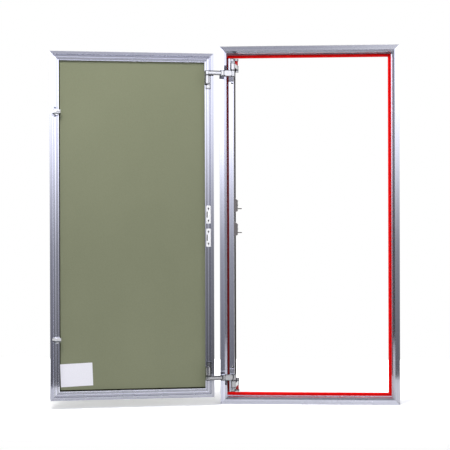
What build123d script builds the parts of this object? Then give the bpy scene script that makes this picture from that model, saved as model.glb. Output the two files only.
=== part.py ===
"""Flush access panel: a mitred aluminium frame and a board-filled leaf on two folding-arm hinges.

Millimetres, +Z up, modelled open as photographed. The front of the frame faces -Y.
The origin is in the middle of the sill's underside.
"""
import math
import os

from build123d import *

# Sizes that drive the part
frame_w = 400.0
frame_h = 800.0
frame_depth = 34.0
flange_w = 15.0
flange_bevel = 4.5
bevel_drop = 3.5
ledge_depth = 26.0
ledge_inner = 23.0
frame_wall = 1.6
bar_from = 19.6
bar_inner = 30.0
bar_rise = 1.0
bar_back = 65.0
bar_lip_deep = 7.0
bar_lip_out = 2.4
leaf_gap = 5.0
leaf_depth = 20.0
leaf_rail_w = 19.8
leaf_edge = 2.0
board_t = 12.5
board_gap = 2.4
board_gap_deep = 6.0
groove_in = 6.5
groove_out = 18.0
groove_depth = 3.0
groove_slope = 1.0
rib_w = 1.6
rib_h = 1.0
leaf_wall = 1.6
seal_t = 2.9
seal_base_t = 1.2
seal_w = 7.3
seal_side_w = 4.0
seal_inset = 1.7
seal_side_inset = 0.3
fixing_hole_d = 5.0
fixing_from_end = 80.0
vent_hole_d = 4.0
plate_w = 10.0
plate_t = 1.4
# Hinge: the opening angle, and the pivots measured from the frame's outer corner with the leaf shut
open_angle = 167.0
open_corner_x = -10.5
open_corner_out = 34.0
pivot_in = 36.0
pivot_deep = 34.0
leaf_pivot_in = 16.0
leaf_pivot_back = 10.0
main_arm_len = 58.0
main_arm_fold = 24.0
pin_r = 2.0
run_gap = 0.05
face_gap = 0.4
arm_half = 4.0
eye_r = 5.0
leaf_eye_r = 4.5
bracket_t = 1.6
bracket_z = 24.5
bracket_h = 31.5
leaf_bracket_h = 39.0
main_arm_h = 9.6
lug_h = 4.5
bush_h = 10.6
bush_r = 3.7
short_arm_h = 9.8
short_arm_thick_h = 14.0
short_arm_bevel = 1.8
block_len = 19.0
block_bevel = 3.0
ring_at = 24.6
ring_r = 5.2
ring_h = 12.4
hinge_mid = 63.3

leaf_w = frame_w - 2 * (flange_w + leaf_gap)
leaf_h = frame_h - 2 * (flange_w + leaf_gap)
front_y = -frame_depth / 2
mid_z = frame_h / 2

# Local x runs across, local y from the front to the back, local z up
frame_base = Plane(origin=(-frame_w / 2, front_y, 0), x_dir=(1, 0, 0), z_dir=(0, 0, 1))
turn = math.radians(open_angle)
leaf_dir = Vector(math.cos(turn), -math.sin(turn), 0)
leaf_back = Vector(math.sin(turn), math.cos(turn), 0)
back_corner = frame_base.from_local_coords(Vector(open_corner_x, -open_corner_out, flange_w + leaf_gap))
leaf_base = Plane(origin=back_corner - leaf_back * leaf_depth, x_dir=leaf_dir, z_dir=(0, 0, 1))

# Pivot places: on the frame, on the leaf, and the knuckle where the two arms meet
frame_pivot = frame_base.from_local_coords(Vector(pivot_in, pivot_deep, 0))
leaf_pivot = leaf_base.from_local_coords(Vector(leaf_pivot_in, leaf_depth + leaf_pivot_back, 0))
leaf_pivot = Vector(leaf_pivot.X, leaf_pivot.Y, 0)
shut_fold = math.radians(main_arm_fold)
shut_knuckle_x = pivot_in + main_arm_len * math.cos(shut_fold)
shut_knuckle_y = pivot_deep + main_arm_len * math.sin(shut_fold)
shut_leaf_x = flange_w + leaf_gap + leaf_pivot_in
shut_leaf_y = leaf_depth + leaf_pivot_back
short_arm_len = math.hypot(shut_knuckle_x - shut_leaf_x, shut_knuckle_y - shut_leaf_y)
reach = (leaf_pivot - frame_pivot).length
along = (main_arm_len**2 - short_arm_len**2 + reach**2) / (2 * reach)
rise = math.sqrt(main_arm_len**2 - along**2)
reach_dir = (leaf_pivot - frame_pivot).normalized()
side_dir = Vector(-reach_dir.Y, reach_dir.X, 0)
knuckle = frame_pivot + reach_dir * along + side_dir * rise


def member_plane(base, across, up, inward, run):
    """Plane of a mitred member's section: local x inward, local y to the back, extruded along run."""
    origin = base.from_local_coords(Vector(across, 0, up))
    x_dir = base.from_local_coords(Vector(*inward)) - base.origin
    z_dir = base.from_local_coords(Vector(*run)) - base.origin
    return Plane(origin=origin, x_dir=x_dir, z_dir=z_dir)


def mitre(base, across, up, keep_dir):
    """Mitre plane through a corner, its normal on the side that is kept."""
    origin = base.from_local_coords(Vector(across, 0, up))
    normal = base.from_local_coords(Vector(keep_dir[0], 0, keep_dir[1])) - base.origin
    return Plane(origin=origin, z_dir=normal)


def arm_plane(start, end, z):
    """Horizontal plane at height z with its origin on start and local x towards end."""
    return Plane(origin=(start.X, start.Y, z), x_dir=(end - start).normalized(), z_dir=(0, 0, 1))


# Extruded sections, drawn once and set on each member's plane
with BuildSketch() as frame_section:
    with BuildLine():
        Polyline(
            (0, 0),
            (flange_w - flange_bevel, 0),
            (flange_w, bevel_drop),
            (flange_w, ledge_depth),
            (ledge_inner, ledge_depth),
            (ledge_inner, frame_depth),
            (0, frame_depth),
            close=True,
        )
    make_face()
    offset(amount=-frame_wall, kind=Kind.INTERSECTION, mode=Mode.SUBTRACT)

with BuildSketch() as leaf_section:
    floor_at = leaf_depth - groove_depth
    rib_from = (groove_in + groove_out - rib_w) / 2
    with BuildLine():
        Polyline(
            (0, 0),
            (leaf_edge, 0),
            (leaf_edge, board_t),
            (leaf_rail_w, board_t),
            (leaf_rail_w, leaf_depth),
            (groove_out, leaf_depth),
            (groove_out - groove_slope, floor_at),
            (rib_from + rib_w, floor_at),
            (rib_from + rib_w, floor_at + rib_h),
            (rib_from, floor_at + rib_h),
            (rib_from, floor_at),
            (groove_in + groove_slope, floor_at),
            (groove_in, leaf_depth),
            (0, leaf_depth),
            close=True,
        )
    make_face()
    chamber_t = floor_at - board_t - 2 * leaf_wall
    with Locations((leaf_rail_w / 2, board_t + leaf_wall + chamber_t / 2)):
        Rectangle(leaf_rail_w - 2 * leaf_wall, chamber_t, mode=Mode.SUBTRACT)

with BuildSketch() as seal_section:
    with BuildLine():
        seat = ledge_depth
        bead_from = flange_w + seal_inset + 0.2 * seal_w
        far = flange_w + seal_inset + seal_w
        Polyline(
            (far, seat),
            (flange_w + seal_inset, seat),
            (flange_w + seal_inset, seat - seal_base_t),
            (bead_from, seat - seal_base_t),
        )
        ThreePointArc(
            (bead_from, seat - seal_base_t),
            ((bead_from + far) / 2, seat - seal_t),
            (far, seat),
        )
    make_face()

with BuildSketch() as seal_side_section:
    with BuildLine():
        near = flange_w + seal_side_inset
        Polyline(
            (near + seal_side_w, ledge_depth),
            (near, ledge_depth),
            (near, ledge_depth - seal_t),
            (near + seal_base_t, ledge_depth - seal_t),
        )
        ThreePointArc(
            (near + seal_base_t, ledge_depth - seal_t),
            (near + 0.75 * seal_side_w, ledge_depth - 0.6 * seal_t),
            (near + seal_side_w, ledge_depth),
        )
    make_face()

# Frame: four mitred lengths of one extrusion
with BuildPart() as frame_sill:
    with BuildSketch(member_plane(frame_base, frame_w, 0, (0, 0, 1), (-1, 0, 0))):
        add(frame_section.sketch)
    extrude(amount=frame_w)
    split(bisect_by=mitre(frame_base, 0, 0, (1, -1)), keep=Keep.TOP)
    split(bisect_by=mitre(frame_base, frame_w, 0, (-1, -1)), keep=Keep.TOP)

with BuildPart() as frame_head:
    with BuildSketch(member_plane(frame_base, 0, frame_h, (0, 0, -1), (1, 0, 0))):
        add(frame_section.sketch)
    extrude(amount=frame_w)
    split(bisect_by=mitre(frame_base, 0, frame_h, (1, 1)), keep=Keep.TOP)
    split(bisect_by=mitre(frame_base, frame_w, frame_h, (-1, 1)), keep=Keep.TOP)

with BuildPart() as frame_hinge_jamb:
    with BuildSketch(member_plane(frame_base, 0, 0, (1, 0, 0), (0, 0, 1))):
        add(frame_section.sketch)
    extrude(amount=frame_h)
    split(bisect_by=mitre(frame_base, 0, 0, (-1, 1)), keep=Keep.TOP)
    split(bisect_by=mitre(frame_base, 0, frame_h, (-1, -1)), keep=Keep.TOP)

with BuildPart() as frame_latch_jamb:
    with BuildSketch(member_plane(frame_base, frame_w, frame_h, (-1, 0, 0), (0, 0, -1))):
        add(frame_section.sketch)
    extrude(amount=frame_h)
    split(bisect_by=mitre(frame_base, frame_w, 0, (1, 1)), keep=Keep.TOP)
    split(bisect_by=mitre(frame_base, frame_w, frame_h, (1, -1)), keep=Keep.TOP)

# Hinge bar: a hollow bar beside the hinge jamb, lipped over its ledge, that carries hinges and catches
seal_start = flange_w + seal_side_inset
seal_side_end = flange_w + seal_inset + seal_w
bar_end = seal_side_end + 0.5
bar_front = ledge_depth - bar_rise
with BuildPart() as hinge_bar:
    with BuildSketch(member_plane(frame_base, 0, bar_end, (1, 0, 0), (0, 0, 1))):
        with BuildLine():
            Polyline(
                (bar_from, bar_front),
                (bar_inner, bar_front),
                (bar_inner, bar_back - bar_lip_deep),
                (bar_inner + bar_lip_out, bar_back - bar_lip_deep),
                (bar_inner + bar_lip_out, bar_back),
                (ledge_inner, bar_back),
                (ledge_inner, ledge_depth),
                (bar_from, ledge_depth),
                close=True,
            )
        make_face()
        with Locations(((ledge_inner + bar_inner) / 2, (bar_front + bar_back) / 2)):
            Rectangle(
                bar_inner - ledge_inner - 2 * frame_wall,
                bar_back - bar_front - 2 * frame_wall,
                mode=Mode.SUBTRACT,
            )
    extrude(amount=frame_h - 2 * bar_end)
    fixing_x = -frame_w / 2 + (ledge_inner + bar_inner) / 2
    with BuildSketch(Plane.XZ.offset(-front_y)):
        with Locations((fixing_x, fixing_from_end), (fixing_x, frame_h - fixing_from_end)):
            Circle(fixing_hole_d / 2)
    extrude(amount=-bar_back, mode=Mode.SUBTRACT)

# Rubber seal on the ledge: wide on three sides, a narrow strip beside the hinges
with BuildPart() as seal_sill:
    with BuildSketch(member_plane(frame_base, frame_w, 0, (0, 0, 1), (-1, 0, 0))):
        add(seal_section.sketch)
    extrude(amount=frame_w - seal_start)
    split(bisect_by=mitre(frame_base, frame_w, 0, (-1, -1)), keep=Keep.TOP)

with BuildPart() as seal_head:
    with BuildSketch(member_plane(frame_base, seal_start, frame_h, (0, 0, -1), (1, 0, 0))):
        add(seal_section.sketch)
    extrude(amount=frame_w - seal_start)
    split(bisect_by=mitre(frame_base, frame_w, frame_h, (-1, 1)), keep=Keep.TOP)

with BuildPart() as seal_latch_side:
    with BuildSketch(member_plane(frame_base, frame_w, frame_h, (-1, 0, 0), (0, 0, -1))):
        add(seal_section.sketch)
    extrude(amount=frame_h)
    split(bisect_by=mitre(frame_base, frame_w, 0, (1, 1)), keep=Keep.TOP)
    split(bisect_by=mitre(frame_base, frame_w, frame_h, (1, -1)), keep=Keep.TOP)

with BuildPart() as seal_hinge_side:
    with BuildSketch(member_plane(frame_base, 0, seal_side_end, (1, 0, 0), (0, 0, 1))):
        add(seal_side_section.sketch)
    extrude(amount=frame_h - 2 * seal_side_end)

# Leaf: four mitred lengths of a grooved extrusion round a plasterboard infill
with BuildPart() as leaf_bottom_rail:
    with BuildSketch(member_plane(leaf_base, leaf_w, 0, (0, 0, 1), (-1, 0, 0))):
        add(leaf_section.sketch)
    extrude(amount=leaf_w)
    split(bisect_by=mitre(leaf_base, 0, 0, (1, -1)), keep=Keep.TOP)
    split(bisect_by=mitre(leaf_base, leaf_w, 0, (-1, -1)), keep=Keep.TOP)
    vent_at = leaf_base.from_local_coords(Vector(leaf_w / 2, leaf_depth, (groove_in + rib_from) / 2))
    with BuildSketch(Plane(origin=vent_at, x_dir=leaf_dir, z_dir=leaf_back)):
        Circle(vent_hole_d / 2)
    extrude(amount=-(groove_depth + leaf_wall + 0.5), mode=Mode.SUBTRACT)

with BuildPart() as leaf_top_rail:
    with BuildSketch(member_plane(leaf_base, 0, leaf_h, (0, 0, -1), (1, 0, 0))):
        add(leaf_section.sketch)
    extrude(amount=leaf_w)
    split(bisect_by=mitre(leaf_base, 0, leaf_h, (1, 1)), keep=Keep.TOP)
    split(bisect_by=mitre(leaf_base, leaf_w, leaf_h, (-1, 1)), keep=Keep.TOP)
    vent_top = leaf_base.from_local_coords(
        Vector(leaf_w / 2, leaf_depth, leaf_h - (groove_in + rib_from) / 2)
    )
    with BuildSketch(Plane(origin=vent_top, x_dir=leaf_dir, z_dir=leaf_back)):
        Circle(vent_hole_d / 2)
    extrude(amount=-(groove_depth + leaf_wall + 0.5), mode=Mode.SUBTRACT)

with BuildPart() as leaf_hinge_stile:
    with BuildSketch(member_plane(leaf_base, 0, 0, (1, 0, 0), (0, 0, 1))):
        add(leaf_section.sketch)
    extrude(amount=leaf_h)
    split(bisect_by=mitre(leaf_base, 0, 0, (-1, 1)), keep=Keep.TOP)
    split(bisect_by=mitre(leaf_base, 0, leaf_h, (-1, -1)), keep=Keep.TOP)

with BuildPart() as leaf_latch_stile:
    with BuildSketch(member_plane(leaf_base, leaf_w, leaf_h, (-1, 0, 0), (0, 0, -1))):
        add(leaf_section.sketch)
    extrude(amount=leaf_h)
    split(bisect_by=mitre(leaf_base, leaf_w, 0, (1, 1)), keep=Keep.TOP)
    split(bisect_by=mitre(leaf_base, leaf_w, leaf_h, (1, -1)), keep=Keep.TOP)

with BuildPart() as plasterboard:
    board_mid = leaf_base.from_local_coords(Vector(leaf_w / 2, 0, leaf_h / 2))
    with BuildSketch(Plane(origin=board_mid, x_dir=leaf_dir, z_dir=leaf_back)):
        Rectangle(leaf_w - 2 * leaf_edge, leaf_h - 2 * leaf_edge)
    extrude(amount=board_t)
    gap_at = leaf_rail_w + board_gap / 2
    gap_mid = leaf_base.from_local_coords(Vector(leaf_w / 2, board_t, leaf_h / 2))
    with BuildSketch(Plane(origin=gap_mid, x_dir=leaf_dir, z_dir=leaf_back)):
        with Locations((leaf_w / 2 - gap_at, 0)):
            Rectangle(board_gap, leaf_h - 2 * leaf_rail_w)
        with Locations((0, leaf_h / 2 - gap_at)):
            Rectangle(leaf_w - 2 * leaf_rail_w, board_gap)
    extrude(amount=-board_gap_deep, mode=Mode.SUBTRACT)

# Lower hinge, built from the bar outwards
lug_low = bracket_z
arm_low = lug_low + lug_h + bush_h + face_gap
arm_high = arm_low + main_arm_h
lug_high = arm_high + face_gap
short_low = hinge_mid - short_arm_h / 2
short_high = hinge_mid + short_arm_h / 2
short_thick_low = hinge_mid - short_arm_thick_h / 2
short_thick_high = hinge_mid + short_arm_thick_h / 2
bar_face = -frame_w / 2 + bar_inner
bar_y = front_y + bar_front

with BuildPart() as lower_hinge_frame_bracket:
    with BuildSketch(Plane.XY.offset(bracket_z)):
        with BuildLine():
            Polyline(
                (bar_face - 8.5, bar_y),
                (bar_face - 8.5, bar_y - bracket_t),
                (bar_face + bracket_t, bar_y - bracket_t),
                (bar_face + bracket_t, bar_y + 24.0),
                (bar_face, bar_y + 24.0),
                (bar_face, bar_y),
                close=True,
            )
        make_face()
    extrude(amount=bracket_h)
    with BuildSketch(Plane.XY.offset(arm_low - face_gap)):
        with Locations((bar_face + bracket_t / 2, bar_y)):
            Rectangle(bracket_t, 60.0)
    extrude(amount=main_arm_h + 2 * face_gap, mode=Mode.SUBTRACT)
    with BuildSketch(Plane.XY.offset(lug_low), Plane.XY.offset(lug_high)):
        with Locations((frame_pivot.X, frame_pivot.Y)):
            Circle(eye_r)
        with Locations(((bar_face + frame_pivot.X) / 2, frame_pivot.Y)):
            Rectangle(frame_pivot.X - bar_face, 2 * eye_r)
    extrude(amount=lug_h)
    with BuildSketch(Plane.XY.offset(lug_low)):
        with Locations((frame_pivot.X, frame_pivot.Y)):
            Circle(pin_r)
    extrude(amount=bracket_h, mode=Mode.SUBTRACT)

with BuildPart() as lower_hinge_frame_pin:
    with Locations((frame_pivot.X, frame_pivot.Y, lug_low)):
        Cylinder(pin_r, lug_high + lug_h - lug_low, align=(Align.CENTER, Align.CENTER, Align.MIN))

with BuildPart() as lower_hinge_bush:
    with BuildSketch(Plane.XY.offset(lug_low + lug_h)):
        with Locations((frame_pivot.X, frame_pivot.Y)):
            Circle(bush_r)
            Circle(pin_r, mode=Mode.SUBTRACT)
    extrude(amount=bush_h)

with BuildPart() as lower_hinge_main_arm:
    with BuildSketch(arm_plane(frame_pivot, knuckle, arm_low)):
        with Locations((main_arm_len / 2, 0)):
            SlotCenterToCenter(main_arm_len, 2 * arm_half)
        with Locations((0, 0), (main_arm_len, 0)):
            Circle(eye_r)
    extrude(amount=main_arm_h)
    with BuildSketch(arm_plane(frame_pivot, knuckle, arm_low)):
        with Locations((main_arm_len, 0)):
            Circle(eye_r)
    extrude(amount=short_thick_low - face_gap - arm_low)
    with BuildSketch(arm_plane(frame_pivot, knuckle, arm_low)):
        Circle(pin_r + run_gap)
        with Locations((main_arm_len, 0)):
            Circle(pin_r)
    extrude(amount=short_high, mode=Mode.SUBTRACT)

with BuildPart() as lower_hinge_knuckle_pin:
    with Locations((knuckle.X, knuckle.Y, arm_low)):
        Cylinder(pin_r, short_thick_high - arm_low, align=(Align.CENTER, Align.CENTER, Align.MIN))

# Short arm: a knuckle eye, an eight-sided block, a ring and a bevelled bar that ends in the leaf eye
short_dir = (leaf_pivot - knuckle).normalized()
short_mid = Vector(knuckle.X, knuckle.Y, hinge_mid)
short_across = Vector(-short_dir.Y, short_dir.X, 0)
with BuildPart() as lower_hinge_short_arm:
    bar_plane = Plane(origin=short_mid + short_dir * ring_at, x_dir=(0, 0, 1), z_dir=short_dir)
    with BuildSketch(bar_plane) as bar_sketch:
        Rectangle(short_arm_h, 2 * arm_half)
        chamfer(bar_sketch.vertices(), length=short_arm_bevel)
    extrude(amount=short_arm_len - ring_at)
    with BuildSketch(Plane(origin=short_mid, x_dir=short_dir, z_dir=short_across)) as block_sketch:
        with Locations((eye_r / 2 + block_len / 2, 0)):
            Rectangle(block_len, short_arm_thick_h)
        chamfer(block_sketch.vertices(), length=block_bevel)
    extrude(amount=arm_half, both=True)
    with BuildSketch(arm_plane(knuckle, leaf_pivot, hinge_mid)):
        with Locations((ring_at, 0)):
            Circle(ring_r)
    extrude(amount=ring_h / 2, both=True)
    with BuildSketch(arm_plane(knuckle, leaf_pivot, hinge_mid)):
        Circle(eye_r)
    extrude(amount=short_arm_thick_h / 2, both=True)
    with BuildSketch(arm_plane(knuckle, leaf_pivot, hinge_mid)):
        with Locations((short_arm_len, 0)):
            Circle(leaf_eye_r)
    extrude(amount=short_arm_h / 2, both=True)
    with BuildSketch(arm_plane(knuckle, leaf_pivot, short_thick_low)):
        with Locations((0, 0), (short_arm_len, 0)):
            Circle(pin_r + run_gap)
    extrude(amount=short_arm_thick_h, mode=Mode.SUBTRACT)


def leaf_face_plane(across, depth, up):
    """Plane parallel to the leaf, its normal out of the leaf's back."""
    at = leaf_base.from_local_coords(Vector(across, depth, 0))
    return Plane(origin=(at.X, at.Y, up), x_dir=leaf_dir, z_dir=leaf_back)


# Leaf bracket: a plate in the groove, a barrel on a web, a pointed tab and an end bar
barrel_low = short_high + face_gap
barrel_h = 19.8
plate_seat = leaf_depth - groove_depth + rib_h
plate_face = plate_seat + plate_t
plate_mid_s = (groove_in + groove_out) / 2
leaf_plate_low = hinge_mid - 4.0
leaf_plate_high = leaf_plate_low + leaf_bracket_h
tab_t = leaf_depth - plate_face
barrel_end = barrel_low + barrel_h
with BuildPart() as lower_hinge_leaf_bracket:
    with BuildSketch(leaf_face_plane(plate_mid_s, plate_seat, leaf_plate_low + leaf_bracket_h / 2)):
        Rectangle(plate_w, leaf_bracket_h)
    extrude(amount=plate_t)
    with BuildSketch(leaf_face_plane(plate_mid_s, plate_face, barrel_end)):
        with BuildLine():
            Polyline((-0.4 * plate_w, 0), (0.4 * plate_w, 0), (0, 0.6 * plate_w), close=True)
        make_face()
    with BuildSketch(leaf_face_plane(plate_mid_s, plate_face, leaf_plate_high - 0.7)):
        Rectangle(plate_w, 1.4)
    extrude(amount=tab_t)
    with BuildSketch(Plane(origin=(leaf_pivot.X, leaf_pivot.Y, barrel_low), x_dir=leaf_dir, z_dir=(0, 0, 1))):
        web = leaf_depth + leaf_pivot_back - plate_face
        Circle(leaf_eye_r)
        with Locations((0, -web / 2 - plate_t / 4)):
            Rectangle(3.0, web + plate_t / 2)
    extrude(amount=barrel_h)
    with BuildSketch(Plane.XY.offset(barrel_low)):
        with Locations((leaf_pivot.X, leaf_pivot.Y)):
            Circle(pin_r)
    extrude(amount=barrel_h, mode=Mode.SUBTRACT)

with BuildPart() as lower_hinge_leaf_pin:
    with Locations((leaf_pivot.X, leaf_pivot.Y, short_low)):
        Cylinder(pin_r, barrel_end - short_low, align=(Align.CENTER, Align.CENTER, Align.MIN))

# Upper hinge: the lower one mirrored about the mid-height
mid_plane = Plane.XY.offset(mid_z)
with BuildPart() as upper_hinge_frame_bracket:
    mirror(lower_hinge_frame_bracket.part, about=mid_plane)
with BuildPart() as upper_hinge_frame_pin:
    mirror(lower_hinge_frame_pin.part, about=mid_plane)
with BuildPart() as upper_hinge_bush:
    mirror(lower_hinge_bush.part, about=mid_plane)
with BuildPart() as upper_hinge_main_arm:
    mirror(lower_hinge_main_arm.part, about=mid_plane)
with BuildPart() as upper_hinge_knuckle_pin:
    mirror(lower_hinge_knuckle_pin.part, about=mid_plane)
with BuildPart() as upper_hinge_short_arm:
    mirror(lower_hinge_short_arm.part, about=mid_plane)
with BuildPart() as upper_hinge_leaf_bracket:
    mirror(lower_hinge_leaf_bracket.part, about=mid_plane)
with BuildPart() as upper_hinge_leaf_pin:
    mirror(lower_hinge_leaf_pin.part, about=mid_plane)

# Catches: slotted keyhole plates in the leaf's groove, bodies with a pin on the hinge bar
catch_plate_h = 40.0
catch_plate_pitch = 51.0
upper_plate_z = 424.0
keyhole_r = 1.9
keyhole_slot_w = 1.8
keyhole_slot_h = 4.0
keyhole_high = 12.8
keyhole_low = -13.7
plate_slot_at = 2.9
body_h = 34.0
body_top_h = 24.5
body_face_lift = 1.75
body_out = 8.0
body_deep = 19.0
body_pitch = 54.0
upper_body_z = 446.0
catch_pin_r = 1.1
catch_pin_len = 9.5
catch_pin_drop = 8.5

with BuildSketch() as catch_plate_face:
    RectangleRounded(plate_w, catch_plate_h, 1.5)
    with Locations((plate_slot_at, 0)):
        SlotOverall(14.0, 2.2, rotation=90, mode=Mode.SUBTRACT)
    with Locations((0, keyhole_high), (0, keyhole_low)):
        Circle(keyhole_r, mode=Mode.SUBTRACT)
    with Locations((0, keyhole_high + keyhole_slot_h / 2), (0, keyhole_low + keyhole_slot_h / 2)):
        Rectangle(keyhole_slot_w, keyhole_slot_h, mode=Mode.SUBTRACT)

with BuildPart() as upper_catch_plate:
    with BuildSketch(leaf_face_plane(plate_mid_s, plate_seat, upper_plate_z)):
        add(catch_plate_face.sketch)
    extrude(amount=plate_t)

with BuildPart() as lower_catch_plate:
    with BuildSketch(leaf_face_plane(plate_mid_s, plate_seat, upper_plate_z - catch_plate_pitch)):
        add(catch_plate_face.sketch)
    extrude(amount=plate_t)

catch_y = bar_y + 1.5
with BuildPart() as upper_catch_body:
    with BuildSketch(Plane(origin=(bar_face, catch_y, upper_body_z), x_dir=(1, 0, 0), z_dir=(0, 1, 0))):
        with BuildLine():
            Polyline(
                (0, -body_h / 2),
                (body_out, body_face_lift - body_top_h / 2),
                (body_out, body_face_lift + body_top_h / 2),
                (0, body_h / 2),
                close=True,
            )
        make_face()
    extrude(amount=body_deep)
    pin_at = (bar_face + body_out, catch_y + body_deep / 3, upper_body_z - catch_pin_drop)
    with BuildSketch(Plane(origin=pin_at, z_dir=(1, 0, 0))):
        Circle(catch_pin_r)
    extrude(amount=catch_pin_len)

with BuildPart() as lower_catch_body:
    with Locations((0, 0, -body_pitch)):
        add(upper_catch_body.part)

# Latch hooks on the leaf's free stile: a base in the groove, a thin wing and a slit wedge
hook_from_mid = 247.0
wing_from = 4.5
wedge_from = 9.5
hook_end = 23.0
hook_low = -4.5
hook_peak = 7.0
hook_back = 14.0
wing_t = 1.5
slit_from = 14.5
slit_h = 2.8
slit_deep = 11.0
with BuildPart() as lower_latch_hook:
    hook_z = mid_z - hook_from_mid
    with BuildSketch(leaf_face_plane(leaf_w - plate_mid_s, plate_seat, hook_z)):
        Rectangle(plate_w, -1.6 * hook_low)
    extrude(amount=leaf_depth - plate_seat)
    with BuildSketch(leaf_face_plane(leaf_w, leaf_depth, hook_z)):
        with BuildLine():
            Polyline(
                (-wing_from, 0.5 * hook_low),
                (-wing_from, 0.2 * hook_peak),
                (-wedge_from, 0.65 * hook_peak),
                (-slit_from, hook_peak),
                (-hook_end + 3.0, 0.7 * hook_peak),
                (-hook_end, 0.2 * hook_peak),
                (-hook_end, hook_low),
                (-wing_from - 3.0, hook_low),
                close=True,
            )
        make_face()
    extrude(amount=wing_t)
    with BuildSketch(leaf_face_plane(leaf_w, leaf_depth, hook_z)):
        with BuildLine():
            Polyline(
                (-wedge_from, hook_low),
                (-wedge_from, 0.65 * hook_peak),
                (-slit_from, hook_peak),
                (-hook_end + 3.0, 0.7 * hook_peak),
                (-hook_end, 0.2 * hook_peak),
                (-hook_end, hook_low),
                close=True,
            )
        make_face()
    extrude(amount=hook_back)
    with BuildSketch(leaf_face_plane(leaf_w, leaf_depth + hook_back, hook_z)):
        with Locations((-(slit_from + hook_end) / 2, -0.8)):
            Rectangle(hook_end - slit_from, slit_h)
    extrude(amount=-slit_deep, mode=Mode.SUBTRACT)

with BuildPart() as upper_latch_hook:
    with Locations((0, 0, 2 * hook_from_mid)):
        add(lower_latch_hook.part)

frame_sill.part.label = "frame_sill"
frame_head.part.label = "frame_head"
frame_hinge_jamb.part.label = "frame_hinge_jamb"
frame_latch_jamb.part.label = "frame_latch_jamb"
hinge_bar.part.label = "hinge_bar"
seal_sill.part.label = "seal_sill"
seal_head.part.label = "seal_head"
seal_latch_side.part.label = "seal_latch_side"
seal_hinge_side.part.label = "seal_hinge_side"
leaf_bottom_rail.part.label = "leaf_bottom_rail"
leaf_top_rail.part.label = "leaf_top_rail"
leaf_hinge_stile.part.label = "leaf_hinge_stile"
leaf_latch_stile.part.label = "leaf_latch_stile"
plasterboard.part.label = "plasterboard"
lower_hinge_frame_bracket.part.label = "lower_hinge_frame_bracket"
lower_hinge_frame_pin.part.label = "lower_hinge_frame_pin"
lower_hinge_bush.part.label = "lower_hinge_bush"
lower_hinge_main_arm.part.label = "lower_hinge_main_arm"
lower_hinge_knuckle_pin.part.label = "lower_hinge_knuckle_pin"
lower_hinge_short_arm.part.label = "lower_hinge_short_arm"
lower_hinge_leaf_bracket.part.label = "lower_hinge_leaf_bracket"
lower_hinge_leaf_pin.part.label = "lower_hinge_leaf_pin"
upper_hinge_frame_bracket.part.label = "upper_hinge_frame_bracket"
upper_hinge_frame_pin.part.label = "upper_hinge_frame_pin"
upper_hinge_bush.part.label = "upper_hinge_bush"
upper_hinge_main_arm.part.label = "upper_hinge_main_arm"
upper_hinge_knuckle_pin.part.label = "upper_hinge_knuckle_pin"
upper_hinge_short_arm.part.label = "upper_hinge_short_arm"
upper_hinge_leaf_bracket.part.label = "upper_hinge_leaf_bracket"
upper_hinge_leaf_pin.part.label = "upper_hinge_leaf_pin"
upper_catch_plate.part.label = "upper_catch_plate"
lower_catch_plate.part.label = "lower_catch_plate"
upper_catch_body.part.label = "upper_catch_body"
lower_catch_body.part.label = "lower_catch_body"
upper_latch_hook.part.label = "upper_latch_hook"
lower_latch_hook.part.label = "lower_latch_hook"

os.makedirs("parts", exist_ok=True)
export_step(frame_sill.part, "parts/frame_sill.step")
export_step(frame_head.part, "parts/frame_head.step")
export_step(frame_hinge_jamb.part, "parts/frame_hinge_jamb.step")
export_step(frame_latch_jamb.part, "parts/frame_latch_jamb.step")
export_step(hinge_bar.part, "parts/hinge_bar.step")
export_step(seal_sill.part, "parts/seal_sill.step")
export_step(seal_head.part, "parts/seal_head.step")
export_step(seal_latch_side.part, "parts/seal_latch_side.step")
export_step(seal_hinge_side.part, "parts/seal_hinge_side.step")
export_step(leaf_bottom_rail.part, "parts/leaf_bottom_rail.step")
export_step(leaf_top_rail.part, "parts/leaf_top_rail.step")
export_step(leaf_hinge_stile.part, "parts/leaf_hinge_stile.step")
export_step(leaf_latch_stile.part, "parts/leaf_latch_stile.step")
export_step(plasterboard.part, "parts/plasterboard.step")
export_step(lower_hinge_frame_bracket.part, "parts/lower_hinge_frame_bracket.step")
export_step(lower_hinge_frame_pin.part, "parts/lower_hinge_frame_pin.step")
export_step(lower_hinge_bush.part, "parts/lower_hinge_bush.step")
export_step(lower_hinge_main_arm.part, "parts/lower_hinge_main_arm.step")
export_step(lower_hinge_knuckle_pin.part, "parts/lower_hinge_knuckle_pin.step")
export_step(lower_hinge_short_arm.part, "parts/lower_hinge_short_arm.step")
export_step(lower_hinge_leaf_bracket.part, "parts/lower_hinge_leaf_bracket.step")
export_step(lower_hinge_leaf_pin.part, "parts/lower_hinge_leaf_pin.step")
export_step(upper_hinge_frame_bracket.part, "parts/upper_hinge_frame_bracket.step")
export_step(upper_hinge_frame_pin.part, "parts/upper_hinge_frame_pin.step")
export_step(upper_hinge_bush.part, "parts/upper_hinge_bush.step")
export_step(upper_hinge_main_arm.part, "parts/upper_hinge_main_arm.step")
export_step(upper_hinge_knuckle_pin.part, "parts/upper_hinge_knuckle_pin.step")
export_step(upper_hinge_short_arm.part, "parts/upper_hinge_short_arm.step")
export_step(upper_hinge_leaf_bracket.part, "parts/upper_hinge_leaf_bracket.step")
export_step(upper_hinge_leaf_pin.part, "parts/upper_hinge_leaf_pin.step")
export_step(upper_catch_plate.part, "parts/upper_catch_plate.step")
export_step(lower_catch_plate.part, "parts/lower_catch_plate.step")
export_step(upper_catch_body.part, "parts/upper_catch_body.step")
export_step(lower_catch_body.part, "parts/lower_catch_body.step")
export_step(upper_latch_hook.part, "parts/upper_latch_hook.step")
export_step(lower_latch_hook.part, "parts/lower_latch_hook.step")
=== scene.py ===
import math

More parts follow.
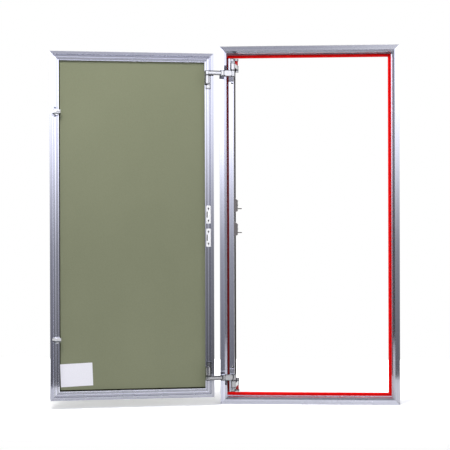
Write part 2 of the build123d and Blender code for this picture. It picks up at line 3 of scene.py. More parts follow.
import bmesh
import bpy
from mathutils import Matrix, Vector


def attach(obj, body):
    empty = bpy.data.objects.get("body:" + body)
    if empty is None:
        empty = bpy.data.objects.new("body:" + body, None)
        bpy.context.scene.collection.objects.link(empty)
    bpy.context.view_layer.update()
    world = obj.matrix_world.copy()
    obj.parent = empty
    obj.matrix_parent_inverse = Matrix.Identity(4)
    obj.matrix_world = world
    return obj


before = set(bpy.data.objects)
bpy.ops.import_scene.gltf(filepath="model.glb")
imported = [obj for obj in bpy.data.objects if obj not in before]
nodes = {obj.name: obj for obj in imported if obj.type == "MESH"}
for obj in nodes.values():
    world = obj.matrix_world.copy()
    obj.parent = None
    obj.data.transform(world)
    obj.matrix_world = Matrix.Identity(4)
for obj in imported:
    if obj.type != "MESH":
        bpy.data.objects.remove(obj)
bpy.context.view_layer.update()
print("stage: frame loaded,", len(nodes), "nodes")

toRight = Vector((1.0, 0.0, 0.0))
toBack = Vector((0.0, 1.0, 0.0))
toFront = Vector((0.0, -1.0, 0.0))
upward = Vector((0.0, 0.0, 1.0))
frameWide, frameTall = 0.40, 0.80
leafWide, leafTall, leafDeep, leafLow = 0.36, 0.76, 0.020, 0.02
leafAngle = math.radians(13.0)  # the open leaf's lean from the wall plane
leafDir = Vector((-math.cos(leafAngle), -math.sin(leafAngle), 0.0))
leafBack = Vector((math.sin(leafAngle), -math.cos(leafAngle), 0.0))
leafCorner = Vector((-0.2105, -0.051, 0.0))  # the leaf's back edge beside the hinges


def placeAt(point, out, up=upward):
    z = out.normalized()
    x = up.cross(z).normalized()
    y = z.cross(x)
    return Matrix.Translation(point) @ Matrix((x, y, z)).transposed().to_4x4()


def leafPoint(across, depth, height):
    return leafCorner + leafDir * across + leafBack * (depth - leafDeep) + upward * height


def addObject(name, data):
    obj = bpy.data.objects.new(name, data)
    bpy.context.scene.collection.objects.link(obj)
    return obj


def newMaterial(name, color, roughness, metallic=0.0):
    mat = bpy.data.materials.new(name)
    mat.use_nodes = True
    shader = mat.node_tree.nodes["Principled BSDF"]
    shader.inputs["Base Color"].default_value = (*color, 1.0)
    shader.inputs["Roughness"].default_value = roughness
    shader.inputs["Metallic"].default_value = metallic
    return mat, mat.node_tree, shader


def addNode(tree, kind, **settings):
    node = tree.nodes.new(kind)
    for key, value in settings.items():
        setattr(node, key, value)
    return node


def mathOf(tree, kind, first, *others):
    node = addNode(tree, "ShaderNodeMath", operation=kind)
    tree.links.new(first, node.inputs[0])
    for i, other in enumerate(others, 1):
        if isinstance(other, float):
            node.inputs[i].default_value = other
        else:
            tree.links.new(other, node.inputs[i])
    return node.outputs["Value"]


def objectCoords(tree, scale, turn=0.0):
    coords = addNode(tree, "ShaderNodeTexCoord")
    turned = addNode(tree, "ShaderNodeVectorRotate", rotation_type="Z_AXIS")
    turned.inputs["Angle"].default_value = turn
    mapping = addNode(tree, "ShaderNodeMapping")
    mapping.inputs["Scale"].default_value = scale
    tree.links.new(coords.outputs["Object"], turned.inputs["Vector"])
    tree.links.new(turned.outputs["Vector"], mapping.inputs["Vector"])
    return mapping.outputs["Vector"]


def reachAlong(tree, along):
    coords = addNode(tree, "ShaderNodeTexCoord")
    reach = addNode(tree, "ShaderNodeVectorMath", operation="DOT_PRODUCT")
    reach.inputs[1].default_value = along
    tree.links.new(coords.outputs["Object"], reach.inputs[0])
    return reach.outputs["Value"]


def noiseOf(tree, vector, detail=3.0, rough=0.55):
    noise = addNode(tree, "ShaderNodeTexNoise")
    noise.inputs["Scale"].default_value = 1.0
    noise.inputs["Detail"].default_value = detail
    noise.inputs["Roughness"].default_value = rough
    tree.links.new(vector, noise.inputs["Vector"])
    return noise.outputs["Fac"]


def grainOf(tree, scale, detail=3.0, rough=0.55):
    return noiseOf(tree, objectCoords(tree, (scale, scale, scale)), detail, rough)


def rampOf(tree, fac, low, high, start=0.3, end=0.7):
    ramp = addNode(tree, "ShaderNodeValToRGB")
    first, last = ramp.color_ramp.elements
    first.position, last.position = start, end
    first.color, last.color = (*low, 1.0), (*high, 1.0)
    tree.links.new(fac, ramp.inputs["Fac"])
    return ramp.outputs["Color"]


def bandsOf(tree, fac, bands, tint=(1.0, 1.0, 1.0)):
    ramp = addNode(tree, "ShaderNodeValToRGB")
    marks = ramp.color_ramp.elements
    while len(marks) < len(bands):
        marks.new(0.5)
    for mark, (place, value) in zip(marks, bands):
        mark.position = place
        mark.color = (value * tint[0], value * tint[1], value * tint[2], 1.0)
    tree.links.new(fac, ramp.inputs["Fac"])
    return ramp.outputs["Color"]


def rangeOf(tree, fac, low, high):
    spread = addNode(tree, "ShaderNodeMapRange")
    spread.inputs["To Min"].default_value = low
    spread.inputs["To Max"].default_value = high
    tree.links.new(fac, spread.inputs["Value"])
    return spread.outputs["Result"]


def shareBetween(tree, fac, start, end):  # 0 at start, 1 at end
    spread = addNode(tree, "ShaderNodeMapRange")
    spread.inputs["From Min"].default_value = start
    spread.inputs["From Max"].default_value = end
    tree.links.new(fac, spread.inputs["Value"])
    return spread.outputs["Result"]


def bumpOf(tree, shader, height, strength, distance):
    bump = addNode(tree, "ShaderNodeBump")
    bump.inputs["Strength"].default_value = strength
    bump.inputs["Distance"].default_value = distance
    tree.links.new(height, bump.inputs["Height"])
    tree.links.new(bump.outputs["Normal"], shader.inputs["Normal"])


def mixOf(tree, kind, first, second, share=None):
    mix = addNode(tree, "ShaderNodeMix", data_type="RGBA", blend_type=kind)
    mix.inputs["Factor"].default_value = 1.0
    if share is not None:
        tree.links.new(share, mix.inputs["Factor"])
    tree.links.new(first, mix.inputs["A"])
    tree.links.new(second, mix.inputs["B"])
    return mix.outputs["Result"]


def nearPlane(tree, along, middle, half):  # 1 within half of middle
    return mathOf(tree, "COMPARE", reachAlong(tree, along), middle, half)


def darkWhere(tree, mask, color, dark):
    mix = addNode(tree, "ShaderNodeMix", data_type="RGBA")
    mix.inputs["B"].default_value = (*dark, 1.0)
    tree.links.new(mask, mix.inputs["Factor"])
    tree.links.new(color, mix.inputs["A"])
    return mix.outputs["Result"]


aluminium = {
    "low": (0.66, 0.67, 0.81),
    "high": (0.91, 0.92, 1.0),
    "from": 0.36,  # where the lines go from low to high
    "to": 0.62,
    "upright": (0.13, 0.17),  # roughness of the uprights
    "crosswise": (0.24, 0.30),  # and of the rails
    "anisotropy": 1.0,
    "lineScale": 900.0,  # fine lines across the drawing direction
    "dieScale": 210.0,  # broader die marks
    "lineNoise": (3.0, 0.6),  # detail and roughness of the noise
    "dieNoise": (2.0, 0.5),
    "runScale": 0.9,
    "cloudScale": 9.0,
    "lineShare": 0.45,
    "dieShare": 0.55,
    "bump": (0.05, 0.0002),
    # painted shade: the bar's chamber drawn near black
    "chamberShade": (0.015, 0.015, 0.015),
    "innerFaceShade": (0.10, 0.095, 0.10),  # painted shade: the bar's inner face drawn dark, for the shadow it lies in
    "wide": 0.020,  # reach of the profile from a member's outer edge
}
# painted shade: middle and half width of the bar's chamber and of its inner face, both drawn dark
barHollow = {"x": (-0.1735, 0.0021), "y": (0.028, 0.0186), "shade": "chamberShade"}
barFace = {"x": (-0.1686, 0.0016), "y": (0.0352, 0.0262), "shade": "innerFaceShade"}

# painted highlights and shade: the lines where the profile's facets catch or miss the light, from a member's
# outer edge inward
paintedLeafBands = [
    (0.0, 0.66), (0.28, 0.66), (0.32, 1.0), (0.37, 1.0), (0.40, 0.60), (0.55, 0.60),
    (0.58, 1.0), (0.65, 1.0), (0.68, 0.60), (0.84, 0.60), (0.88, 1.0), (1.0, 1.0),
]
paintedFrameBands = [(0.0, 0.70), (0.10, 0.80), (0.5, 0.80), (0.54, 0.76), (0.73, 0.76), (0.76, 0.95), (1.0, 0.95)]
paintedBrightBands = [
    (0.0, 0.84), (0.10, 1.0), (0.22, 0.92), (0.30, 1.0), (0.5, 1.0),
    (0.54, 0.84), (0.73, 0.84), (0.76, 1.0), (1.0, 1.0),
]
brightLengths = ("frame_sill", "frame_hinge_jamb")
leafAcrossWay = {"along": leafDir, "middle": leafDir.dot(leafCorner) + leafWide / 2, "half": leafWide / 2}
leafUpWay = {"along": upward, "middle": leafLow + leafTall / 2, "half": leafTall / 2}
frameAcrossWay = {"along": toRight, "middle": 0.0, "half": frameWide / 2}
frameUpWay = {"along": upward, "middle": frameTall / 2, "half": frameTall / 2}
paintedLevels = {  # painted light and shade: how bright each length is drawn, by how the light falls on it
    "frame_sill": 0.75,
    "frame_head": 0.68,
    "frame_hinge_jamb": 0.88,
    "frame_latch_jamb": 0.78,
    "hinge_bar": 0.80,
    "leaf_bottom_rail": 0.80,
    "leaf_top_rail": 1.0,
    "leaf_hinge_stile": 0.72,
    "leaf_latch_stile": 1.0,
}


def paintedProfileOf(tree, way, bands):
    fromMiddle = mathOf(tree, "SUBTRACT", reachAlong(tree, way["along"]), way["middle"])
    outward = mathOf(tree, "ABSOLUTE", fromMiddle)
    inward = shareBetween(tree, outward, way["half"], way["half"] - aluminium["wide"])
    return bandsOf(tree, inward, bands)


def drawnLines(tree, scale, runsUp, turn, detail, rough):
    run = aluminium["runScale"]
    stretch = (scale, scale, run) if runsUp else (run, scale, scale)
    return noiseOf(tree, objectCoords(tree, stretch, turn), detail, rough)


def spreadSideways(tree, shader, runsUp, turn):
    side = addNode(tree, "ShaderNodeCombineXYZ")
    across = (math.cos(turn), -math.sin(turn), 0.0) if runsUp else (0.0, 0.0, 1.0)
    for axis, value in zip("XYZ", across):
        side.inputs[axis].default_value = value
    toWorld = addNode(
        tree, "ShaderNodeVectorTransform", vector_type="VECTOR", convert_from="OBJECT", convert_to="WORLD")
    tree.links.new(side.outputs["Vector"], toWorld.inputs["Vector"])
    tree.links.new(toWorld.outputs["Vector"], shader.inputs["Tangent"])


def drawnAluminium(name, runsUp, paintedLevel, turn=0.0, way=None, bands=None, dark=()):
    look = aluminium
    rough = look["upright"] if runsUp else look["crosswise"]
    mat, tree, shader = newMaterial(name, look["high"], rough[0], 1.0)
    lines = drawnLines(tree, look["lineScale"], runsUp, turn, *look["lineNoise"])
    marks = drawnLines(tree, look["dieScale"], runsUp, turn, *look["dieNoise"])
    cloud = look["cloudScale"]
    broad = noiseOf(tree, objectCoords(tree, (cloud, cloud, cloud), turn))
    both = mathOf(tree, "MULTIPLY_ADD", lines, look["lineShare"], rangeOf(tree, marks, 0.0, look["dieShare"]))
    # painted light and shade: the member's colours scaled by its level
    low, high = ([paintedLevel * part for part in look[end]] for end in ("low", "high"))
    color = rampOf(tree, both, low, high, look["from"], look["to"])
    if way:
        # painted highlights and shade along the profile
        color = mixOf(tree, "MULTIPLY", color, paintedProfileOf(tree, way, bands))
    # painted shade: the listed spots are drawn dark
    for place in dark:
        mask = mathOf(
            tree, "MULTIPLY", nearPlane(tree, toRight, *place["x"]), nearPlane(tree, toBack, *place["y"]))
        color = darkWhere(tree, mask, color, look[place["shade"]])
    tree.links.new(color, shader.inputs["Base Color"])
    tree.links.new(rangeOf(tree, broad, *rough), shader.inputs["Roughness"])
    shader.inputs["Anisotropic"].default_value = look["anisotropy"]
    spreadSideways(tree, shader, runsUp, turn)
    bumpOf(tree, shader, both, *look["bump"])
    return mat


def lengthFinish(name):
    paintedLevel = paintedLevels[name]
    if name == "hinge_bar":
        return drawnAluminium("barAluminium", True, paintedLevel, dark=(barHollow, barFace))
    runsUp = name.endswith(("jamb", "stile"))
    finishName = name + "_aluminium"
    if name.startswith("leaf"):
        way = leafAcrossWay if runsUp else leafUpWay
        return drawnAluminium(finishName, runsUp, paintedLevel, -leafAngle, way, paintedLeafBands)
    way = frameAcrossWay if runsUp else frameUpWay
    bands = paintedBrightBands if name in brightLengths else paintedFrameBands
    return drawnAluminium(finishName, runsUp, paintedLevel, 0.0, way, bands)


rubberLook = {
    "low": 0.93,  # of the full red
    "roughness": 0.5,
    "gloss": 0.15,
    "grainScale": 700.0,
    "grainDetail": 4.0,
    "bump": (0.05, 0.0002),
}


def sealRubber(name, red):
    look = rubberLook
    mat, tree, shader = newMaterial(name, (red, 0.0, 0.0), look["roughness"])
    shader.inputs["Specular IOR Level"].default_value = look["gloss"]
    grain = grainOf(tree, look["grainScale"], look["grainDetail"])
    color = rampOf(tree, grain, (red * look["low"], 0.0, 0.0), (red, 0.0, 0.0))
    tree.links.new(color, shader.inputs["Base Color"])
    bumpOf(tree, shader, grain, *look["bump"])
    return mat


boardLook = {
    "low": (0.166, 0.178, 0.110),
    "high": (0.216, 0.229, 0.147),
    "from": 0.3,  # where the fibres go from low to high
    "to": 0.75,
    "roughness": 0.9,
    "gloss": 0.25,
    "fibreScale": (900.0, 900.0, 520.0),
    "fibreNoise": (5.0, 0.7),  # detail and roughness of the noise
    "fibreShare": 0.55,
    "cloudScale": (7.0, 7.0, 5.0),
    "cloudDetail": 4.0,
    "cloudShare": (0.1, 0.38),
    "bump": (0.25, 0.0003),
    "gapShade": (0.012, 0.011, 0.008),  # painted shade: the board's edges in the gap round it, drawn near black
    "gapDeep": 0.0065,
    "gapHalf": 0.0045,
}


def boardPaper():
    look = boardLook
    mat, tree, shader = newMaterial("boardPaper", look["high"], look["roughness"])
    shader.inputs["Specular IOR Level"].default_value = look["gloss"]
    fibre = noiseOf(tree, objectCoords(tree, look["fibreScale"], -leafAngle), *look["fibreNoise"])
    cloud = noiseOf(tree, objectCoords(tree, look["cloudScale"], -leafAngle), look["cloudDetail"])
    blend = mathOf(tree, "MULTIPLY_ADD", fibre, look["fibreShare"], rangeOf(tree, cloud, *look["cloudShare"]))
    color = rampOf(tree, blend, look["low"], look["high"], look["from"], look["to"])
    # painted shade: the board's edges in the gap drawn near black
    gapAt = leafBack.dot(leafCorner) - leafDeep + look["gapDeep"]
    color = darkWhere(tree, nearPlane(tree, leafBack, gapAt, look["gapHalf"]), color, look["gapShade"])
    tree.links.new(color, shader.inputs["Base Color"])
    bumpOf(tree, shader, fibre, *look["bump"])
    return mat


zincLook = {"grainScale": 420.0, "grainNoise": (4.0, 0.65), "bump": (0.08, 0.0002)}
paintedEdgeShade = {  # painted shade: the edges drawn near black, for the dark reflections along the rounded chrome
    "reach": 0.0038,
    "color": (0.012, 0.012, 0.015),
    "samples": 6,
    "from": 0.992,  # how alike the rounded and the flat normal are
    "to": 0.955,
}


def edgeMask(tree, edge):
    rounded = addNode(tree, "ShaderNodeBevel", samples=edge["samples"])
    rounded.inputs["Radius"].default_value = edge["reach"]
    flat = addNode(tree, "ShaderNodeNewGeometry")
    same = addNode(tree, "ShaderNodeVectorMath", operation="DOT_PRODUCT")
    tree.links.new(rounded.outputs["Normal"], same.inputs[0])
    tree.links.new(flat.outputs["Normal"], same.inputs[1])
    return shareBetween(tree, same.outputs["Value"], edge["from"], edge["to"])


def zincSteel(name, low, high, roughness, spread=0.07, edge=None):
    look = zincLook
    mat, tree, shader = newMaterial(name, high, roughness, 1.0)
    grain = grainOf(tree, look["grainScale"], *look["grainNoise"])
    color = rampOf(tree, grain, low, high)
    if edge:
        # painted shade along the edges
        color = darkWhere(tree, edgeMask(tree, edge), color, edge["color"])
    tree.links.new(color, shader.inputs["Base Color"])
    tree.links.new(rangeOf(tree, grain, roughness - spread, roughness + spread), shader.inputs["Roughness"])
    bumpOf(tree, shader, grain, *look["bump"])
    return mat


whiteLook = {"low": (0.80, 0.80, 0.81), "high": (0.90, 0.90, 0.91), "underShade": (0.06, 0.07, 0.08)}
hookUnderShades = [(0.1497, 0.0015), (0.6437, 0.0015)]  # height and half height of the painted shade under the hooks


def whiteZinc(name, roughness, metallic, underShades=()):
    look = whiteLook
    mat, tree, shader = newMaterial(name, look["high"], roughness, metallic)
    grain = grainOf(tree, zincLook["grainScale"], *zincLook["grainNoise"])
    color = rampOf(tree, grain, look["low"], look["high"])
    # painted shade: a dark band under each hook
    for middle, half in underShades:
        color = darkWhere(tree, nearPlane(tree, upward, middle, half), color, look["underShade"])
    tree.links.new(color, shader.inputs["Base Color"])
    bumpOf(tree, shader, grain, *zincLook["bump"])
    return mat


bushLook = {
    "color": (0.5, 0.005, 0.005),
    "low": (0.36, 0.003, 0.003),
    "high": (0.55, 0.006, 0.006),
    "roughness": 0.45,
    "grainScale": 500.0,
    "bump": (0.1, 0.0002),
}
paperLook = {
    "color": (0.74, 0.73, 0.78),
    "low": (0.70, 0.69, 0.73),
    "high": (0.77, 0.76, 0.81),
    "roughness": 0.7,
    "grainScale": 700.0,
    "bump": (0.1, 0.0002),
}


def plainFinish(name, look):
    mat, tree, shader = newMaterial(name, look["color"], look["roughness"])
    grain = grainOf(tree, look["grainScale"])
    tree.links.new(rampOf(tree, grain, look["low"], look["high"]), shader.inputs["Base Color"])
    bumpOf(tree, shader, grain, *look["bump"])
    return mat


rubber = sealRubber("sealRubber", 0.95)
hingeShadeRubber = sealRubber("hingeSealShadeRubber", 0.17)  # painted shade: the hinge-side strip drawn dark red, for the shadow of the flange and the open leaf
board = boardPaper()
hingeZinc = zincSteel("hingeZinc", (0.37, 0.373, 0.385), (0.50, 0.503, 0.515), 0.06, 0.03, paintedEdgeShade)
pinZinc = zincSteel("pinZinc", (0.46, 0.46, 0.48), (0.58, 0.58, 0.60), 0.3)
catchZinc = whiteZinc("catchZinc", 0.34, 0.15)
hookZinc = whiteZinc("hookZinc", 0.22, 0.55, hookUnderShades)
darkZinc = zincSteel("darkZinc", (0.17, 0.155, 0.15), (0.25, 0.23, 0.225), 0.42)
slotShade = zincSteel("slotShade", (0.012, 0.012, 0.013), (0.03, 0.03, 0.032), 0.5)  # painted shade: a near-black sheet behind the plates' slots
screwZinc = zincSteel("screwZinc", (0.26, 0.28, 0.32), (0.42, 0.45, 0.50), 0.3)
bushPlastic = plainFinish("bushPlastic", bushLook)
paper = plainFinish("labelPaper", paperLook)

finishes = {name: lengthFinish(name) for name in paintedLevels}
finishes.update({"plasterboard": board, "seal_hinge_side": hingeShadeRubber})


def finishOf(name):
    if name in finishes:
        return finishes[name]
    if name.startswith("seal"):
        return rubber
    if name.endswith("_pin"):
        return pinZinc
    if name.endswith("_bush"):
        return bushPlastic
    if "catch_body" in name:
        return darkZinc
    if "latch_hook" in name:
        return hookZinc
    if "catch" in name:
        return catchZinc
    return hingeZinc


edgeSoft = {"frame": 0.0005, "leaf": 0.0005, "hinge": 0.0004, "other": 0.0009, "segments": 3, "sharper": 35.0}


def edgeOf(name):
    if name.startswith(("frame", "leaf")):
        return edgeSoft[name.split("_")[0]]
    return edgeSoft["hinge"] if finishOf(name) is hingeZinc else edgeSoft["other"]


for name, obj in nodes.items():
    obj.data.materials.clear()
    obj.data.materials.append(finishOf(name))
    if name.startswith("seal") or name.endswith("_pin"):
        continue
    soft = obj.modifiers.new("softEdges", "BEVEL")
    soft.width = edgeOf(name)
    soft.segments = edgeSoft["segments"]
    soft.limit_method = "ANGLE"
    soft.angle_limit = math.radians(edgeSoft["sharper"])
print("stage: finishes set")

screwLook = {
    "radius": 0.0024,
    "rise": 0.0011,
    "sides": 28,
    "rings": [(1.0, 0.0), (1.0, 0.35), (0.88, 0.72), (0.62, 0.93)],  # share of the radius and of the rise
    "slotLong": 1.25,  # times the radius
    "slotWide": 0.0007,
    "slotDeep": 0.0007,
}


def screwMesh():
    look = screwLook
    mesh = bpy.data.meshes.new("screwHead")
    shape = bmesh.new()
    count = look["sides"]
    turns = [2 * math.pi * i / count for i in range(count)]
    loops = []
    for share, lift in look["rings"]:
        wide = share * look["radius"]
        tall = lift * look["rise"]
        loops.append([shape.verts.new((wide * math.cos(t), wide * math.sin(t), tall)) for t in turns])
    top = shape.verts.new((0.0, 0.0, look["rise"]))
    for low, high in zip(loops, loops[1:]):
        for i in range(count):
            shape.faces.new((low[i], low[(i + 1) % count], high[(i + 1) % count], high[i]))
    for i in range(count):
        shape.faces.new((loops[-1][i], loops[-1][(i + 1) % count], top))
    shape.faces.new(list(reversed(loops[0])))
    shape.to_mesh(mesh)
    shape.free()
    return mesh


def crossCutter():
    look = screwLook
    mesh = bpy.data.meshes.new("crossCut")
    shape = bmesh.new()
    size = Matrix.Diagonal((look["radius"] * look["slotLong"], look["slotWide"], look["slotDeep"] * 2, 1.0))
    lift = Matrix.Translation((0.0, 0.0, look["rise"]))
    for turn in (0.0, math.pi / 2):
        bmesh.ops.create_cube(shape, size=1.0, matrix=lift @ Matrix.Rotation(turn, 4, "Z") @ size)
    shape.to_mesh(mesh)
    shape.free()
    return mesh


def cutScrew(finish):
    head = addObject("screwBlank", screwMesh())
    cutter = addObject("crossBlank", crossCutter())
    cut = head.modifiers.new("cross", "BOOLEAN")
    cut.object = cutter
    cut.operation = "DIFFERENCE"
    cut.use_self = True
    bpy.context.view_layer.update()
    made = bpy.data.meshes.new_from_object(head.evaluated_get(bpy.context.evaluated_depsgraph_get()))
    for obj in (head, cutter):
        bpy.data.objects.remove(obj)
    made.materials.clear()
    made.materials.append(finish)
    return made


screwData = {"pale": cutScrew(screwZinc), "dark": cutScrew(darkZinc)}


def addScrew(name, point, out, body, size, turn, shade="pale"):
    obj = addObject(name, screwData[shade])
    scale = Matrix.Diagonal((size, size, size, 1.0))
    obj.matrix_world = placeAt(point, out) @ Matrix.Rotation(turn, 4, "Z") @ scale
    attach(obj, body)


# painted shade: a near-black sheet set behind each plate's slot, where there is only shadow
slotShadeLook = {"wide": 0.0088, "high": 0.038, "thick": 0.0003, "depth": 0.0178}


def addSlotShade(name, point):
    look = slotShadeLook
    mesh = bpy.data.meshes.new(name)
    shape = bmesh.new()
    size = Matrix.Diagonal((look["wide"], look["high"], look["thick"], 1.0))
    bmesh.ops.create_cube(shape, size=1.0, matrix=size)
    shape.to_mesh(mesh)
    shape.free()
    mesh.materials.append(slotShade)
    obj = addObject(name, mesh)
    obj.matrix_world = placeAt(point, leafBack)
    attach(obj, "leaf")


grooveMid = 0.01225  # middle of the leaf's hardware groove, from the leaf's edge
bracketScrews = {"x": -0.1738, "y": 0.0064, "heights": (0.031, 0.050), "size": 1.0, "turn": 0.3}
hookScrews = {"fromMiddle": 0.247, "depth": 0.0185, "offsets": (-0.0078, 0.0100), "size": 0.95, "turn": 0.2}
plateScrews = {
    "middles": {"upper": 0.424, "lower": 0.373},
    "depth": 0.018,
    "offsets": (-0.0137, 0.0128),
    "size": 0.9,
    "turn": 0.5,
}
bodyScrews = {
    "middles": {"upper": 0.446, "lower": 0.392},
    "x": -0.162,
    "y": 0.023,
    "offsets": (-0.0005, 0.0085),
    "size": 0.8,
    "turn": 0.1,
}

for level, base, sign in (("lower", 0.0, 1.0), ("upper", frameTall, -1.0)):
    look = bracketScrews
    for i, height in enumerate(look["heights"]):
        point = Vector((look["x"], look["y"], base + sign * height))
        addScrew(f"{level}_bracket_screw_{i}", point, toFront, "frame", look["size"], look["turn"] + i)
    look = hookScrews
    hookZ = frameTall / 2 - sign * look["fromMiddle"]
    for i, offset in enumerate(look["offsets"]):
        point = leafPoint(leafWide - grooveMid, look["depth"], hookZ + offset)
        addScrew(f"{level}_hook_screw_{i}", point, leafBack, "leaf", look["size"], look["turn"] + i)
look = plateScrews
for level, middle in look["middles"].items():
    for i, offset in enumerate(look["offsets"]):
        point = leafPoint(grooveMid, look["depth"], middle + offset)
        # the plate screws are drawn in dark zinc, partly painted shade for the keyholes they sit in
        addScrew(f"{level}_plate_screw_{i}", point, leafBack, "leaf", look["size"], look["turn"] + i, "dark")
    # painted shade: a dark sheet behind each plate's slot
    addSlotShade(f"{level}_plate_slot_shade", leafPoint(grooveMid, slotShadeLook["depth"], middle))
look = bodyScrews
for level, middle in look["middles"].items():
    for i, offset in enumerate(look["offsets"]):
        point = Vector((look["x"], look["y"], middle + offset))
        addScrew(f"{level}_body_screw_{i}", point, toRight, "frame", look["size"], look["turn"] + i)
print("stage: screws set")

labelLook = {
    "wide": 0.070,
    "high": 0.050,
    "thick": 0.00015,
    "cells": (28, 20),
    "lean": math.radians(2.2),
    "across": 0.303,  # middle of the label on the leaf
    "depth": 0.0126,
    "height": 0.075,
    "curlFrom": 0.86,  # the corners lift a little
    "curl": 0.004,
}


def addLabel():
    look = labelLook
    mesh = bpy.data.meshes.new("address_label")
    shape = bmesh.new()
    columns, rows = look["cells"]
    bmesh.ops.create_grid(shape, x_segments=columns, y_segments=rows, size=0.5)
    for vert in shape.verts:
        x, y = vert.co.x, vert.co.y
        curl = max(0.0, abs(x) + abs(y) - look["curlFrom"]) ** 2 * look["curl"]
        vert.co = Vector((x * look["wide"], y * look["high"], look["thick"] + curl))
    shape.to_mesh(mesh)
    shape.free()
    mesh.materials.append(paper)
    obj = addObject("address_label", mesh)
    point = leafPoint(look["across"], look["depth"], look["height"])
    obj.matrix_world = placeAt(point, leafBack) @ Matrix.Rotation(look["lean"], 4, "Z")
    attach(obj, "leaf")


addLabel()
print("stage: label set")

studio = {
    "ahead": [  # light by height, in front
        (-0.13, 0.20), (-0.02, 0.50), (0.02, 1.02), (0.055, 1.8), (0.09, 2.4),
        (0.20, 2.5), (0.34, 0.25), (0.7, 0.22), (1.0, 0.50),
    ],
    "aside": [  # and at the sides
        (-0.13, 0.06), (0.0, 0.09), (0.05, 0.26), (0.09, 0.42),
        (0.20, 0.46), (0.34, 0.08), (0.7, 0.08), (1.0, 0.40),
    ],
    "rightGain": [(0.2, 1.0), (0.7, 4.0)],  # brighter at the right
    "toAhead": [(0.52, 0.0), (0.80, 1.0)],  # by how far to the front
    "strips": [(0.50, 0.0), (0.56, 0.9), (0.64, 0.9), (0.70, 0.0)],  # two tall soft boxes, one at each side
    "panelAcross": [(0.01, 0.0), (0.05, 1.0), (0.11, 1.0), (0.16, 0.0)],  # a bright panel high at the front
    "panelHeight": [(0.09, 0.0), (0.13, 3.0), (0.32, 3.0), (0.38, 0.0)],
    "across": [(-0.25, 1.0), (-0.08, 0.95), (0.08, 0.80), (0.34, 1.0)],  # by how far to the right
    "behind": [(-0.3, 0.10), (0.1, 1.0)],  # by how far to the front
    "wall": [(-0.45, 1.0), (-0.15, 0.0)],  # where the white background stands, behind the part
    "tint": (0.95, 0.96, 1.03),
}


def stopsOf(tree, fac, stops, tint=(1.0, 1.0, 1.0)):  # stops run from -1 to 1
    half = mathOf(tree, "MULTIPLY_ADD", fac, 0.5, 0.5)
    return bandsOf(tree, half, [(0.5 * place + 0.5, value) for place, value in stops], tint)


def mirrorRay(tree, path):
    return mathOf(tree, "MAXIMUM", path.outputs["Is Glossy Ray"], path.outputs["Is Transmission Ray"])


def roomLight(tree, right, ahead, height):
    look = studio
    inFront = stopsOf(tree, height, look["ahead"], look["tint"])
    aside = stopsOf(tree, height, look["aside"], look["tint"])
    sides = mixOf(tree, "MULTIPLY", aside, stopsOf(tree, right, look["rightGain"]))
    room = mixOf(tree, "MIX", sides, inFront, stopsOf(tree, ahead, look["toAhead"]))
    strips = stopsOf(tree, ahead, look["strips"], look["tint"])
    panelRight = stopsOf(tree, right, look["panelAcross"])
    panel = mixOf(tree, "MULTIPLY", panelRight, stopsOf(tree, height, look["panelHeight"]))
    lit = mixOf(tree, "ADD", room, mixOf(tree, "ADD", strips, panel))
    acrossLevel = stopsOf(tree, right, look["across"])
    level = mixOf(tree, "MULTIPLY", acrossLevel, stopsOf(tree, ahead, look["behind"]))
    return mixOf(tree, "MULTIPLY", lit, level)


def addWorld():
    world = bpy.data.worlds.new("studio")
    bpy.context.scene.world = world
    world.use_nodes = True
    tree = world.node_tree
    tree.nodes.clear()
    coords = addNode(tree, "ShaderNodeTexCoord")
    split = addNode(tree, "ShaderNodeSeparateXYZ")
    tree.links.new(coords.outputs["Generated"], split.inputs["Vector"])
    ahead = mathOf(tree, "MULTIPLY", split.outputs["Y"], -1.0)
    light = addNode(tree, "ShaderNodeBackground")
    white = addNode(tree, "ShaderNodeBackground")
    white.inputs["Color"].default_value = (1.0, 1.0, 1.0, 1.0)
    path = addNode(tree, "ShaderNodeLightPath")
    inWall = mathOf(tree, "MULTIPLY", mirrorRay(tree, path), stopsOf(tree, ahead, studio["wall"]))
    shown = mathOf(tree, "MAXIMUM", path.outputs["Is Camera Ray"], inWall)
    pick = addNode(tree, "ShaderNodeMixShader")
    out = addNode(tree, "ShaderNodeOutputWorld")
    tree.links.new(roomLight(tree, split.outputs["X"], ahead, split.outputs["Z"]), light.inputs["Color"])
    tree.links.new(shown, pick.inputs["Fac"])
    tree.links.new(light.outputs["Background"], pick.inputs[1])
    tree.links.new(white.outputs["Background"], pick.inputs[2])
    tree.links.new(pick.outputs["Shader"], out.inputs["Surface"])


addWorld()

floorLook = {
    "near": -0.5,
    "far": 0.9,
    "half": 1.3,
    "low": (0.87, 0.87, 0.87),
    "high": (0.89, 0.89, 0.89),
    "roughness": 0.9,
    "cloudScale": 3.0,
    "cloudDetail": 2.0,
    "underShade": (0.22, 0.22, 0.22),  # in the part's own shade
    "underAt": (0.045, 0.10),
    "seen": (1.6, 1.6, 1.6),  # as seen and mirrored
    "mirrored": 0.4,  # how much of the white floor the metal shows
    "fade": (0.15, 0.6),  # the far floor fades into the white wall
}


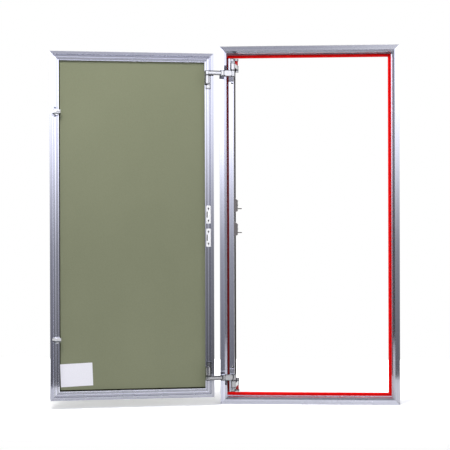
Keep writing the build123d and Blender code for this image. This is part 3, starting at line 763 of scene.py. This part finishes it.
def addFloor():
    look = floorLook
    near, far, half = look["near"], look["far"], look["half"]
    mesh = bpy.data.meshes.new("studioFloor")
    corners = [(-half, near, 0.0), (half, near, 0.0), (half, far, 0.0), (-half, far, 0.0)]
    mesh.from_pydata(corners, [], [(0, 1, 2, 3)])
    obj = addObject("studioFloor", mesh)
    mat, tree, shader = newMaterial("studioFloor", look["high"], look["roughness"])
    cloud = grainOf(tree, look["cloudScale"], look["cloudDetail"])
    plain = rampOf(tree, cloud, look["low"], look["high"])
    underShade = darkWhere(tree, nearPlane(tree, toBack, *look["underAt"]), plain, look["underShade"])
    tree.links.new(underShade, shader.inputs["Base Color"])
    white = addNode(tree, "ShaderNodeBsdfDiffuse")
    white.inputs["Color"].default_value = (*look["seen"], 1.0)
    lift = addNode(tree, "ShaderNodeEmission")
    tree.links.new(shareBetween(tree, reachAlong(tree, toBack), *look["fade"]), lift.inputs["Strength"])
    path = addNode(tree, "ShaderNodeLightPath")
    mirrored = mathOf(tree, "MULTIPLY", mirrorRay(tree, path), look["mirrored"])
    shown = mathOf(tree, "MAXIMUM", path.outputs["Is Camera Ray"], mirrored)
    both = addNode(tree, "ShaderNodeAddShader")
    pick = addNode(tree, "ShaderNodeMixShader")
    tree.links.new(white.outputs["BSDF"], both.inputs[0])
    tree.links.new(lift.outputs["Emission"], both.inputs[1])
    tree.links.new(shown, pick.inputs["Fac"])
    tree.links.new(shader.outputs["BSDF"], pick.inputs[1])
    tree.links.new(both.outputs["Shader"], pick.inputs[2])
    tree.links.new(pick.outputs["Shader"], tree.nodes["Material Output"].inputs["Surface"])
    mesh.materials.append(mat)


addFloor()

lamps = {
    "keyLamp": {"place": (-0.45, -1.06, 1.24), "target": (-0.1, 0.0, 0.5), "size": 0.42, "power": 11.3},
    "backLamp": {"place": (0.35, 1.5, 0.75), "target": (-0.1, 0.0, 0.4), "size": 0.8, "power": 10.0},
    "topLamp": {"place": (0.0, 0.45, 2.6), "target": (0.0, 0.40, 0.0), "size": 2.6, "power": 20.0},
}


def addLamp(name, look):
    data = bpy.data.lights.new(name, "AREA")
    data.shape = "SQUARE"
    data.size = look["size"]
    data.energy = look["power"]
    obj = addObject(name, data)
    place = Vector(look["place"])
    obj.matrix_world = placeAt(place, place - Vector(look["target"]))
    obj.visible_glossy = False  # the metal mirrors the room, not the lamps


for name, look in lamps.items():
    addLamp(name, look)

cameraLook = {
    "place": (0.00435, -2.87447, 0.41173),
    "yaw": -3.859,
    "pitch": -0.219,
    "roll": -0.176,
    "focal": 1279.5 / 450.0,  # of the image's width
    "sensor": 36.0,
    "clip": 50.0,
}


def addCamera():
    look = cameraLook
    yaw, pitch, roll = (math.radians(look[k]) for k in ("yaw", "pitch", "roll"))
    ahead = Vector((math.sin(yaw) * math.cos(pitch), math.cos(yaw) * math.cos(pitch), math.sin(pitch)))
    right = Vector((math.cos(yaw), -math.sin(yaw), 0.0))
    up = right.cross(ahead)
    x = right * math.cos(roll) + up * math.sin(roll)
    y = up * math.cos(roll) - right * math.sin(roll)
    data = bpy.data.cameras.new("photoCamera")
    data.sensor_width = look["sensor"]
    data.lens = look["focal"] * look["sensor"]
    data.clip_end = look["clip"]
    obj = addObject("photoCamera", data)
    obj.matrix_world = Matrix.Translation(look["place"]) @ Matrix((x, y, -ahead)).transposed().to_4x4()
    bpy.context.scene.camera = obj


addCamera()
bpy.context.scene.view_settings.view_transform = "Standard"
print("stage: light and camera set")
